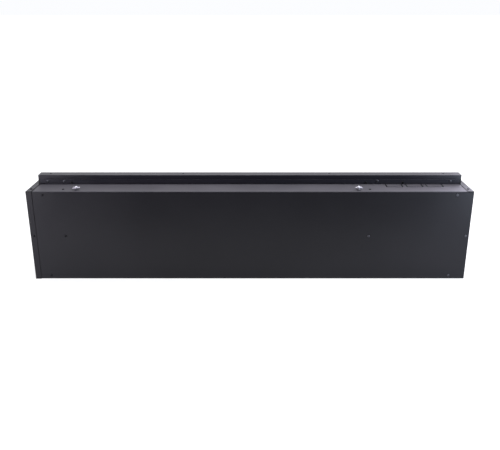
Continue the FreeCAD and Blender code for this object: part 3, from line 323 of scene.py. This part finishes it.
def make_materials():
    """One material for each slot of the record."""
    return {
        "casing_black": powder_coat("casing_black", (0.0055, 0.0053, 0.0072), 0.33, 0.20,
                                    (0.024, 0.023, 0.027)),
        "casing_top": powder_coat("casing_top", (0.0110, 0.0105, 0.0150), 0.42, 0.20,
                                  (0.044, 0.042, 0.048), CAD_BOX[1][0] - CAP_FLANGE * MM),
        "header_black_painted_light": powder_coat("header_black_painted_light", (0.0075, 0.0072, 0.0105), 0.33, 0.24,
                                    (0.024, 0.023, 0.027)),
        "screw_black": turned_metal("screw_black", (0.018, 0.018, 0.020), 0.45),
        # A lighter copy of the black screw finish: painted highlight on heads that catch light.
        "screw_black_lit": turned_metal("screw_black_lit", (0.075, 0.075, 0.085), 0.38),
        "bright_plate": plated("bright_plate", (0.36, 0.35, 0.38), 0.60),
        "galvanised": zinc_sheet("galvanised", (0.55, 0.56, 0.58), 0.42),
        "front_glazing": see_through("front_glazing", (0.80, 0.81, 0.82), 0.0, 1.0, 1.5, 0.15),
        "screen_plastic": moulded("screen_plastic", (0.006, 0.006, 0.007), 0.55, 900.0, 0.08),
        "black_plastic": moulded("black_plastic", (0.022, 0.022, 0.024), 0.5),
        "bright_foil": plated("bright_foil", (0.85, 0.85, 0.86), 0.12),
        "smoked_plastic": see_through("smoked_plastic", (0.20, 0.15, 0.13), 0.1, 0.8, 1.49),
        "crystal": see_through("crystal", (0.95, 0.97, 1.0), 0.02, 1.0, 1.52),
        "strip_board": circuit("strip_board", (0.75, 0.76, 0.72)),
        "ground_steel": turned_metal("ground_steel", (0.62, 0.62, 0.63), 0.25),
        "rubber_black": moulded("rubber_black", (0.018, 0.018, 0.018), 0.75, 500.0),
        "motor_steel": zinc_sheet("motor_steel", (0.6, 0.6, 0.6), 0.35),
        "wheel_alloy": turned_metal("wheel_alloy", (0.65, 0.66, 0.67), 0.38),
        "element_alloy": turned_metal("element_alloy", (0.6, 0.61, 0.62), 0.45),
        "circuit_board": circuit("circuit_board", (0.03, 0.13, 0.06)),
        "standoff_nylon": moulded("standoff_nylon", (0.72, 0.71, 0.66), 0.5),
        "rocker_black": moulded("rocker_black", (0.015, 0.015, 0.016), 0.28, 200.0),
        "button_black": moulded("button_black", (0.020, 0.020, 0.021), 0.36, 600.0),
        "phosphor": moulded("phosphor", (0.80, 0.55, 0.08), 0.3, 300.0),
        "winding_tape": moulded("winding_tape", (0.72, 0.50, 0.10), 0.35, 120.0),
    }


def paint_nodes(materials):
    """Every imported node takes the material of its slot."""
    for name, obj in nodes.items():
        obj.data.materials.clear()
        obj.data.materials.append(materials[FINISH_OF.get(name, SLOT_OF[name])])


# ---------------------------------------------------------------- mesh tools

def solids_of(name):
    """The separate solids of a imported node: each one is the list of its corner points."""
    mesh = nodes[name].data
    grain = 1e-5
    keys = [tuple(round(c / grain) for c in vertex.co) for vertex in mesh.vertices]
    parent = {key: key for key in keys}

    def root(key):
        while parent[key] != key:
            parent[key] = parent[parent[key]]
            key = parent[key]
        return key

    for face in mesh.polygons:
        first = root(keys[face.vertices[0]])
        for corner in face.vertices:
            parent[root(keys[corner])] = first
    groups = {}
    for key in parent:
        groups.setdefault(root(key), []).append(Vector(key) * grain)
    return [groups[key] for key in sorted(groups)]


def box_of(points):
    """The lowest and highest corners of a list of points."""
    low = Vector([min(p[axis] for p in points) for axis in range(3)])
    high = Vector([max(p[axis] for p in points) for axis in range(3)])
    return low, high


def node_box(name):
    low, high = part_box(name)
    return Vector(low), Vector(high)


def skin(bm, rings, closed=False, finish=0):
    """Joins rings of points into a shell: closed runs back to the first ring, else it is capped."""
    rows = [[bm.verts.new(point) for point in ring] for ring in rings]
    count = len(rows[0])
    pairs = list(zip(rows, rows[1:]))
    if closed:
        pairs.append((rows[-1], rows[0]))
    faces = []
    for near, far in pairs:
        for place in range(count):
            after = (place + 1) % count
            faces.append(bm.faces.new((near[place], near[after], far[after], far[place])))
    if not closed:
        faces.append(bm.faces.new(rows[0]))
        faces.append(bm.faces.new(rows[-1]))
    for face in faces:
        face.material_index = finish


def lathe(bm, profile, place, segments=32, closed=False, finish=0):
    """Turns a profile of (radius, height) in millimetres about the local Z of a placement."""
    rings = []
    for radius, height in profile:
        ring = []
        for step in range(segments):
            angle = 2 * math.pi * step / segments
            spot = Vector((radius * math.cos(angle), radius * math.sin(angle), height))
            ring.append(place @ (spot * MM))
        rings.append(ring)
    skin(bm, rings, closed, finish)


def soft_box(bm, low, high, radius, finish=0):
    """A block with rounded edges, between two corners."""
    low, high = Vector(low), Vector(high)
    size = high - low
    place = Matrix.Translation((low + high) / 2) @ Matrix.Diagonal((*size, 1.0))
    made = bmesh.ops.create_cube(bm, size=1.0, matrix=place)
    edges = {edge for vertex in made["verts"] for edge in vertex.link_edges}
    faces = {face for vertex in made["verts"] for face in vertex.link_faces}
    for face in faces:
        face.material_index = finish
    bmesh.ops.bevel(bm, geom=list(edges), offset=radius, segments=2, affect="EDGES",
                    profile=0.6, material=finish)


def placed(spot, out=(0, 0, 1), turn=0.0):
    """A placement at a spot whose local Z points out, turned about that direction."""
    facing = Vector((0, 0, 1)).rotation_difference(Vector(out)).to_matrix().to_4x4()
    return Matrix.Translation(spot) @ facing @ Matrix.Rotation(turn, 4, "Z")


def make_piece(name, bm, finishes, body, stands_for=(), crease=32.0):
    """Turns the mesh into a piece that rides on a body, with smooth and sharp edges told apart."""
    bmesh.ops.recalc_face_normals(bm, faces=bm.faces)
    for edge in bm.edges:
        edge.smooth = edge.is_manifold and edge.calc_face_angle(0.0) < math.radians(crease)
    for face in bm.faces:
        face.smooth = True
    mesh = bpy.data.meshes.new(name)
    bm.to_mesh(mesh)
    bm.free()
    for finish in finishes:
        mesh.materials.append(materials[finish])
    piece = bpy.data.objects.new(name, mesh)
    bpy.context.scene.collection.objects.link(piece)
    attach(piece, body)
    if stands_for:
        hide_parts(*stands_for)
    return piece


# ---------------------------------------------------------------- fasteners

HEAD_HIGH = 2.1
RECESS_DEEP = 1.25
RECESS_ARM = (1.75, 0.42)
THREAD_PITCH = 0.7
THREAD_DEEP = 0.26
SCREW_SETS = ("rear_cover_screws", "top_panel_screws", "end_cap_screws", "header_screws")
GOLDEN_ANGLE = 2.399963
# The header's two rows of screws are told apart by how far a seat is below the highest head.
ROW_BREAK = 5.4
# Rear screws further along than this, towards the heater's end, have lighter heads: painted highlight
# for the light that they catch.
LIT_HEADS_FROM = -0.3


def recess_depth(across, along):
    """How deep the cross recess is at one spot of the head."""
    arm_long, arm_half = RECESS_ARM
    outside = min(max(abs(across) - arm_long, abs(along) - arm_half),
                  max(abs(along) - arm_long, abs(across) - arm_half))
    return RECESS_DEEP * min(1.0, max(0.0, -outside / 0.22))


def pan_screw(bm, place, radius, shank, length, finish):
    """A pan head with a cross recess, and a threaded shank below its seat."""
    segments = 48
    rings = []
    turns = 44
    for step in range(turns + 1):
        height = -length * (1 - step / turns)
        ring = []
        for side in range(segments):
            angle = 2 * math.pi * side / segments
            phase = (height / THREAD_PITCH + side / segments) % 1.0
            crest = shank - THREAD_DEEP * abs(2 * phase - 1) * min(1.0, -height / 0.5)
            reach = crest * (0.55 + 0.45 * min(1.0, (height + length) / 0.8))
            ring.append(Vector((reach * math.cos(angle), reach * math.sin(angle), height)))
        rings.append(ring)
    rings.append([Vector((radius * 0.985 * math.cos(2 * math.pi * s / segments),
                          radius * 0.985 * math.sin(2 * math.pi * s / segments), 0.0))
                  for s in range(segments)])
    for part in (1.0, 0.995, 0.96, 0.9, 0.82, 0.74, 0.66, 0.58, 0.5, 0.42, 0.34, 0.26, 0.18, 0.1):
        ring = []
        for side in range(segments):
            angle = 2 * math.pi * side / segments
            across = radius * part * math.cos(angle)
            along = radius * part * math.sin(angle)
            crown = HEAD_HIGH * (0.3 + 0.7 * (1 - part ** 5) ** 0.6) if part < 1 else 0.12
            ring.append(Vector((across, along, crown - recess_depth(across, along))))
        rings.append(ring)
    skin(bm, [[place @ (point * MM) for point in ring] for ring in rings], finish=finish)


def screws():
    """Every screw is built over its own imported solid, each turned to an angle of its own."""
    count = 0
    row_break = node_box("header_screws")[1].z - ROW_BREAK * MM
    for name in SCREW_SETS:
        bm = bmesh.new()
        for solid in solids_of(name):
            low, high = box_of(solid)
            size = high - low
            axis = max(range(3), key=lambda a: size[a])
            middle = (low + high) / 2
            across = [a for a in range(3) if a != axis]
            wide = {}
            for end, sign in ((low[axis], -1), (high[axis], 1)):
                near = [p for p in solid if abs(p[axis] - end) < 0.05 * MM]
                wide[sign] = max((p[across[0]] - middle[across[0]]) ** 2
                                 + (p[across[1]] - middle[across[1]]) ** 2 for p in near)
            sign = max(wide, key=wide.get)
            out = Vector([sign if a == axis else 0 for a in range(3)])
            seat = middle.copy()
            seat[axis] = (high[axis] if sign > 0 else low[axis]) - sign * HEAD_HIGH * MM
            radius = size[across[0]] / 2 / MM
            length = size[axis] / MM - HEAD_HIGH
            # Some heads take a lighter finish, painted highlight for the light that they catch: the
            # header's upper row, and the rear ones at one end.
            if name == "header_screws":
                lit_head = seat.z > row_break
            else:
                lit_head = out.y > 0.5 and seat.x < LIT_HEADS_FROM
            place = placed(seat, out, GOLDEN_ANGLE * count)
            pan_screw(bm, place, radius, radius * 0.55, length, int(lit_head))
            count += 1
        make_piece(name + "_form", bm, ("screw_black", "screw_black_lit"), "casing", (name,))


WING_TURN = {"wing_nut_left": math.radians(-6), "wing_nut_right": math.radians(5)}
NUT_HUB = ((2.55, 0.0), (4.3, 0.0), (4.4, 0.5), (3.5, 1.0), (3.3, 2.0), (4.3, 3.0), (5.1, 4.2),
           (5.15, 6.3), (4.8, 7.5), (4.3, 8.4), (3.6, 9.0), (2.55, 9.2))
# Each section of a wing: its reach from the axis, its middle height, half height and half thickness.
WING_SECTIONS = ((0.0, 5.2, 3.0, 2.4), (4.4, 5.2, 3.2, 2.3), (6.6, 5.0, 3.0, 2.2), (8.6, 4.8, 2.6, 2.0),
                 (9.8, 4.7, 2.0, 1.6), (10.3, 4.7, 1.3, 1.0), (10.5, 4.7, 0.5, 0.4))


def wing_nuts():
    """Cast wing nuts: a domed hub and two level wings that run into it with soft fillets."""
    for name, turn in WING_TURN.items():
        low, high = node_box(name)
        place = placed(Vector(((low.x + high.x) / 2, (low.y + high.y) / 2, low.z)), turn=turn)
        bm = bmesh.new()
        lathe(bm, NUT_HUB, place, segments=40, closed=True)
        for sign in (-1, 1):
            rings = []
            for reach, middle, tall, thick in WING_SECTIONS:
                ring = []
                for step in range(20):
                    angle = 2 * math.pi * step / 20
                    spot = (sign * reach, thick * math.cos(angle), middle + tall * math.sin(angle))
                    ring.append(place @ (Vector(spot) * MM))
                rings.append(ring)
            skin(bm, rings)
        rough = make_piece(name + "_form", bm, ("bright_plate",), BODY_OF[name], (name,))
        cast_together(rough, 0.2 * MM)


def cast_together(piece, grain):
    """Melts the overlapping shells of a piece into one skin and smooths it."""
    melt = piece.modifiers.new("melt", "REMESH")
    melt.mode = "VOXEL"
    melt.voxel_size = grain
    melt.use_smooth_shade = True
    ease = piece.modifiers.new("ease", "SMOOTH")
    ease.factor = 0.5
    ease.iterations = 4
    settled = piece.evaluated_get(bpy.context.evaluated_depsgraph_get())
    mesh = bpy.data.meshes.new_from_object(settled)
    piece.modifiers.clear()
    piece.data = mesh


def washers():
    """Plain washers under the wing nuts, with their punched edges rolled over."""
    bm = bmesh.new()
    for solid in solids_of("wing_washers"):
        low, high = box_of(solid)
        outer = (high.x - low.x) / 2 / MM
        thick = (high.z - low.z) / MM
        profile = ((2.8, 0.0), (outer - 0.15, 0.0), (outer, 0.2), (outer, thick - 0.35),
                   (outer - 0.35, thick), (3.0, thick), (2.8, thick - 0.15))
        lathe(bm, profile, placed(Vector(((low.x + high.x) / 2, (low.y + high.y) / 2, low.z))),
              segments=48, closed=True)
    # The washers take the black screw finish: painted shade under the wing nuts.
    make_piece("wing_washers_form", bm, ("screw_black",), "casing", ("wing_washers",))


# ---------------------------------------------------------------- rubber and plastic pieces

def grommet():
    """The cable grommet: two rounded lips with a groove that grips the end cap."""
    low, high = node_box("cable_grommet")
    middle = (low + high) / 2
    place = placed(Vector((low.x, middle.y, middle.z)), out=(1, 0, 0))
    profile = ((4.4, 0.35), (5.2, 0.02), (6.8, 0.08), (7.9, 0.6), (8.4, 1.3), (8.5, 2.15), (6.0, 2.2),
               (6.0, 3.4), (7.7, 3.4), (7.7, 4.8), (7.1, 5.5), (4.7, 5.7), (4.05, 5.2), (4.0, 1.0))
    bm = bmesh.new()
    lathe(bm, profile, place, segments=56, closed=True)
    make_piece("cable_grommet_form", bm, ("rubber_black",), "casing", ("cable_grommet",), crease=50.0)


BUTTON_PROFILE = ((0.3, 0.16), (2.2, 0.12), (3.4, 0.0), (4.2, 0.06), (4.65, 0.35), (4.8, 0.85),
                  (4.8, 2.7), (6.2, 2.7), (6.4, 2.9), (6.4, 4.0), (6.2, 4.2), (1.8, 4.2), (1.8, 8.7),
                  (1.5, 9.0))
LENS_PROFILE = ((0.3, 0.0), (1.6, 0.06), (2.9, 0.22), (3.8, 0.5), (4.3, 0.9), (4.4, 1.3), (4.4, 1.6),
                (6.2, 1.6), (6.2, 3.1))


def buttons():
    """Dished push buttons, each with the collar that holds it behind the fascia and its stem."""
    for name in ("power_button", "flame_button", "heat_button", "timer_button"):
        low, high = node_box(name)
        middle = (low + high) / 2
        bm = bmesh.new()
        place = placed(Vector((middle.x, low.y, middle.z)), out=(0, 1, 0))
        lathe(bm, BUTTON_PROFILE, place, segments=48)
        make_piece(name + "_form", bm, ("button_black",), BODY_OF[name], (name,))
    low, high = node_box("receiver_lens")
    middle = (low + high) / 2
    bm = bmesh.new()
    lathe(bm, LENS_PROFILE, placed(Vector((middle.x, low.y, middle.z)), out=(0, 1, 0)), segments=48)
    make_piece("receiver_lens_form", bm, ("smoked_plastic",), "casing", ("receiver_lens",))


ROCKER_HALF = 7.2
ROCKER_WIDE = 4.7
ROCKER_FRONT = -4.4
ROCKER_BACK = 2.0
ROCKER_DISH = 0.9
ROCKER_TIP = math.radians(8)


def rocker():
    """The mains rocker: a dished paddle with rounded edges on two short pins."""
    pivot = next(Vector(joint["pos_m"]) for joint in frame["record"]["behaviour"]["joints"]
                 if joint["child"] == "mains_rocker")
    place = Matrix.Translation(pivot) @ Matrix.Rotation(ROCKER_TIP, 4, "X")
    bm = bmesh.new()
    rings = []
    for across, inset in ((-1.0, 0.45), (-0.975, 0.15), (-0.9, 0.0),
                          (0.9, 0.0), (0.975, 0.15), (1.0, 0.45)):
        ring = []
        half = ROCKER_HALF - inset
        for step in range(17):
            up = -half + 2 * half * step / 16
            dish = ROCKER_DISH * (1 - (up / half) ** 2) ** 1.5
            ring.append((ROCKER_WIDE * across, ROCKER_FRONT + inset + dish, up))
        ring.append((ROCKER_WIDE * across, ROCKER_BACK - inset, half))
        ring.append((ROCKER_WIDE * across, ROCKER_BACK - inset, -half))
        rings.append([place @ (Vector(point) * MM) for point in ring])
    skin(bm, rings)
    pin = placed(Vector((0, 0, 0)), out=(1, 0, 0))
    reach = ROCKER_WIDE + 1.0
    lathe(bm, ((1.0, -reach), (1.2, 0.2 - reach), (1.2, reach - 0.2), (1.0, reach)),
          place @ pin, segments=24)
    make_piece("power_rocker_form", bm, ("rocker_black",), "mains_rocker", ("power_rocker",),
               crease=40.0)


# ---------------------------------------------------------------- firebox

def crystals():
    """Cut-glass crystals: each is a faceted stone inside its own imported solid."""
    draw = random.Random(11)
    bm = bmesh.new()
    for solid in solids_of("ember_crystals"):
        low, high = box_of(solid)
        middle, half = (low + high) / 2, (high - low) / 2
        stone = []
        corners = 15
        for place in range(corners):
            # Points spread evenly over a sphere, then shaken, give facets of uneven size.
            up = 1 - 2 * (place + 0.5) / corners
            around = 2.399963 * place + draw.uniform(-0.5, 0.5)
            level = math.sqrt(1 - up * up)
            spread = draw.uniform(0.84, 0.99)
            spot = Vector((level * math.cos(around) * half.x, level * math.sin(around) * half.y,
                           up * half.z))
            stone.append(bm.verts.new(middle + spot * spread))
        made = bmesh.ops.convex_hull(bm, input=stone)
        loose = [item for item in made["geom_interior"] if isinstance(item, bmesh.types.BMVert)]
        bmesh.ops.delete(bm, geom=loose, context="VERTS")
    make_piece("ember_crystals_form", bm, ("crystal",), "casing", ("ember_crystals",), crease=4.0)


STRIP_MARGIN = 16.0
CHIPS = 26


def chip_lenses():
    """The yellow lens on each light-emitting chip, and a resistor between every two chips."""
    for name, up in (("ember_light_strip", 1), ("flame_light_strip", 1), ("top_light_strip", -1)):
        low, high = node_box(name)
        face = high.z if up > 0 else low.z
        board = face - up * 1.2 * MM
        y = (low.y + high.y) / 2
        pitch = (high.x - low.x - 2 * STRIP_MARGIN * MM) / (CHIPS - 1)
        bm = bmesh.new()
        for place in range(CHIPS):
            x = low.x + STRIP_MARGIN * MM + place * pitch
            lens = ((1.9, 0.0), (1.8, 0.18), (1.45, 0.36), (0.9, 0.48), (0.25, 0.52))
            lathe(bm, lens, placed(Vector((x, y, face)), out=(0, 0, up)), segments=20)
            if place < CHIPS - 1:
                middle = Vector((x + pitch / 2, y, board + up * 0.25 * MM))
                half = Vector((1.0, 0.6, 0.25)) * MM
                soft_box(bm, middle - half, middle + half, 0.08 * MM, finish=1)
        make_piece(name + "_lenses", bm, ("phosphor", "black_plastic"), "casing")


# ---------------------------------------------------------------- blower and boards

WHEEL_BLADES = 30
BLADE_ROOT = 23.6
BLADE_TIP = 29.6
BLADE_SWEEP = 0.26
BLADE_THICK = 0.6


def blower_wheel():
    """The cross-flow wheel: forward-curved blades between end discs and middle rings."""
    low, high = node_box("blower_wheel")
    middle = (low + high) / 2
    length = (high.x - low.x) / MM
    place = placed(Vector((low.x, middle.y, middle.z)), out=(1, 0, 0))
    bm = bmesh.new()
    stations = 7
    for blade in range(WHEEL_BLADES):
        start = 2 * math.pi * blade / WHEEL_BLADES
        outline = []
        for side in (-0.5, 0.5):
            steps = range(6) if side < 0 else range(5, -1, -1)
            for step in steps:
                part = step / 5
                radius = BLADE_ROOT + (BLADE_TIP - BLADE_ROOT) * part
                angle = start + BLADE_SWEEP * part ** 2 + side * BLADE_THICK / radius
                outline.append((radius * math.cos(angle), radius * math.sin(angle)))
        rings = []
        for station in range(stations):
            height = 1.0 + (length - 2.0) * station / (stations - 1)
            rings.append([place @ (Vector((x, y, height)) * MM) for x, y in outline])
        skin(bm, rings)
    for height in (0.0, length - 2.0):
        disc = ((3.05, height), (29.4, height), (29.6, height + 0.3), (29.6, height + 1.7),
                (29.4, height + 2.0), (3.05, height + 2.0))
        lathe(bm, disc, place, segments=60, closed=True)
    for part in (0.25, 0.5, 0.75):
        height = length * part
        ring = ((23.2, height - 0.5), (29.6, height - 0.5), (29.6, height + 0.5), (23.2, height + 0.5))
        lathe(bm, ring, place, segments=60, closed=True)
    for height, end in ((1.5, 12.0), (length - 12.0, length - 1.5)):
        boss = ((3.05, height), (8.0, height), (8.0, end), (3.05, end))
        lathe(bm, boss, place, segments=32, closed=True)
    make_piece("blower_wheel_form", bm, ("wheel_alloy",), "blower_rotor", ("blower_wheel",))


def power_board():
    """The mains board: transformer, relays, capacitor, fuse, varistor and a row of sockets."""
    low, high = node_box("power_board")
    face = low.x + 1.6 * MM
    bm = bmesh.new()

    def part(x, y, z, radius, finish):
        corner = Vector((face + x[0] * MM, y[0] * MM, z[0] * MM))
        other = Vector((face + x[1] * MM, y[1] * MM, z[1] * MM))
        soft_box(bm, corner, other, radius * MM, finish)

    soft_box(bm, low, Vector((face, high.y, high.z)), 0.2 * MM, 0)
    # Transformer: steel core, taped winding and two cheeks.
    part((0, 13), (-40, -8), (129, 153), 0.4, 3)
    part((0.6, 12.4), (-34, -14), (122.4, 159.6), 2.2, 2)
    for low_edge in (122, 146):
        part((0, 12), (8, 36), (low_edge, low_edge + 18), 0.8, 1)
    lathe(bm, ((8.4, 0), (9, 0.5), (9, 2), (8.6, 2.4), (9, 2.8), (9, 12.2), (8.4, 13), (5, 12.8)),
          placed(Vector((face, -28 * MM, 186 * MM)), out=(1, 0, 0)), segments=36, finish=1)
    for step in range(4):
        start = 13 * step - 2
        part((0, 9), (start, start + 9), (206, 216), 0.5, 4)
        for pin in (2.5, 6.5):
            part((9, 9.05), (start + pin - 0.5, start + pin + 0.5), (209, 213), 0.01, 3)
    part((0, 6), (-44, -24), (212, 218), 2.0, 4)
    for step in range(6):
        start = -4 + 6.4 * step
        part((0, 2.2), (start, start + 4.6), (178, 179.8), 0.7, 2 if step % 2 else 1)
        part((0, 1.4), (start, start + 3.2), (190, 191.6), 0.2, 1)
    part((0, 2.0), (-4, 16), (168, 174), 0.3, 1)
    finishes = ("circuit_board", "black_plastic", "winding_tape", "motor_steel", "standoff_nylon")
    make_piece("power_board_form", bm, finishes, "casing", ("power_board",))


def roll_edges():
    """Sheet steel has rolled edges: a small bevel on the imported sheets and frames."""
    for name in ("rear_cover", "top_panel", "bottom_panel", "end_cap_left", "end_cap_right",
                 "header_channel", "fascia", "outlet_grille", "rocker_housing", "hanger_rail"):
        join = nodes[name].modifiers.new("join", "WELD")
        join.merge_threshold = 0.005 * MM
        # Faces that lie in one plane become one, so that no sliver between them is taken for an edge.
        plane = nodes[name].modifiers.new("plane", "DECIMATE")
        plane.decimate_type = "DISSOLVE"
        plane.angle_limit = math.radians(1)
        roll = nodes[name].modifiers.new("roll", "BEVEL")
        roll.width = 0.22 * MM
        roll.segments = 2
        roll.limit_method = "ANGLE"
        roll.angle_limit = math.radians(40)
        roll.harden_normals = True
        roll.use_clamp_overlap = True
        # The long thin faces round the holes take the direction of the sheet that they lie in.
        flat = nodes[name].modifiers.new("flat", "WEIGHTED_NORMAL")
        flat.weight = 100
        flat.keep_sharp = True


# ---------------------------------------------------------------- studio

def studio_floor():
    """A wide pale floor and backdrop, bright enough to lose its horizon."""
    bpy.ops.mesh.primitive_plane_add(size=60.0, location=(0.0, 0.0, 0.0))
    floor = bpy.context.object
    floor.name = "studio_floor"
    recipe = Recipe("studio_floor", (0.22, 0.22, 0.22), 0.9, specular=0.1)
    recipe.set("Emission Color", (1.0, 1.0, 1.0, 1.0))
    split = recipe.node("ShaderNodeSeparateXYZ")
    recipe.link(recipe.place, split.inputs[0])
    distance = recipe.node("ShaderNodeVectorMath", operation="LENGTH")
    recipe.link(recipe.place, distance.inputs[0])
    # The camera sees a white floor all round. The light that it throws on the casing is strongest
    # close behind it, and fades out further back.
    seen = recipe.ramp(distance.outputs["Value"], 0.75, 1.0, 0.6, 1.6)
    thrown = recipe.multiply(recipe.ramp(split.outputs["Y"], 0.35, 0.75, -0.05, 0.05),
                             recipe.ramp(split.outputs["Y"], 1.0, 0.0, 0.5, 0.7))
    glow = recipe.node("ShaderNodeMix", data_type="FLOAT")
    recipe.link(recipe.node("ShaderNodeLightPath").outputs["Is Camera Ray"], glow.inputs[0])
    recipe.link(thrown, glow.inputs[2])
    recipe.link(seen, glow.inputs[3])
    recipe.link(glow.outputs[0], recipe.shader.inputs["Emission Strength"])
    floor.data.materials.append(recipe.material)


def soft_light(name, size, power, location, target, color):
    """A rectangular softbox that faces its target."""
    data = bpy.data.lights.new(name, "AREA")
    data.shape = "RECTANGLE"
    data.size, data.size_y = size
    data.energy = power
    data.color = color
    lamp = bpy.data.objects.new(name, data)
    lamp.location = location
    lamp.visible_camera = False
    aim = Vector(target) - Vector(location)
    lamp.rotation_euler = aim.to_track_quat("-Z", "Y").to_euler()
    bpy.context.scene.collection.objects.link(lamp)


def studio_world():
    """White to the camera, and soft light on the casing's glass side, none from the camera's side."""
    world = bpy.data.worlds.new("studio")
    bpy.context.scene.world = world
    world.use_nodes = True
    tree = world.node_tree
    background = tree.nodes["Background"]
    place = tree.nodes.new("ShaderNodeTexCoord")
    split = tree.nodes.new("ShaderNodeSeparateXYZ")
    ramp = tree.nodes.new("ShaderNodeMapRange")
    ramp.inputs["From Min"].default_value = 0.1
    ramp.inputs["From Max"].default_value = -0.7
    ramp.inputs["To Min"].default_value = 0.0
    ramp.inputs["To Max"].default_value = 0.7
    tree.links.new(place.outputs["Generated"], split.inputs[0])
    tree.links.new(split.outputs["Y"], ramp.inputs["Value"])
    seen = tree.nodes.new("ShaderNodeLightPath")
    strength = tree.nodes.new("ShaderNodeMix")
    strength.inputs[3].default_value = 1.0
    tree.links.new(seen.outputs["Is Camera Ray"], strength.inputs[0])
    tree.links.new(ramp.outputs["Result"], strength.inputs[2])
    tree.links.new(strength.outputs[0], background.inputs["Strength"])
    background.inputs["Color"].default_value = (0.97, 0.98, 1.0, 1.0)


def studio_camera():
    """The camera stands behind the casing, above it, and looks down at it."""
    data = bpy.data.cameras.new("camera")
    data.lens = 45.43
    data.sensor_width = 36.0
    camera = bpy.data.objects.new("camera", data)
    camera.location = (-0.0006, 1.7791, 0.7844)
    look_down = math.radians(19.79)
    camera.rotation_euler = (math.pi / 2 - look_down, 0.0, math.pi)
    bpy.context.scene.collection.objects.link(camera)
    bpy.context.scene.camera = camera


materials = make_materials()
paint_nodes(materials)
roll_edges()
screws()
wing_nuts()
washers()
grommet()
buttons()
rocker()
crystals()
chip_lenses()
blower_wheel()
power_board()
studio_floor()
studio_world()
studio_camera()
soft_light("overhead", size=(2.8, 1.1), power=103.0, location=(-0.25, -0.10, 1.9),
           target=(-0.2, 0.0, 0.27), color=(0.97, 0.97, 1.0))
soft_light("rim_right", size=(0.6, 0.5), power=12.6, location=(-1.05, -0.45, 0.80),
           target=(-0.60, 0.0, 0.27), color=(0.84, 0.82, 1.0))
soft_light("key_left", size=(1.0, 0.8), power=27.0, location=(1.35, 0.75, 0.25),
           target=(0.6, 0.07, 0.10), color=(0.93, 0.90, 1.0))
soft_light("key_right", size=(0.7, 0.6), power=15.0, location=(-1.15, 0.60, 0.25),
           target=(-0.6, 0.07, 0.10), color=(0.76, 0.84, 1.0))
bpy.context.scene.view_settings.view_transform = "Standard"
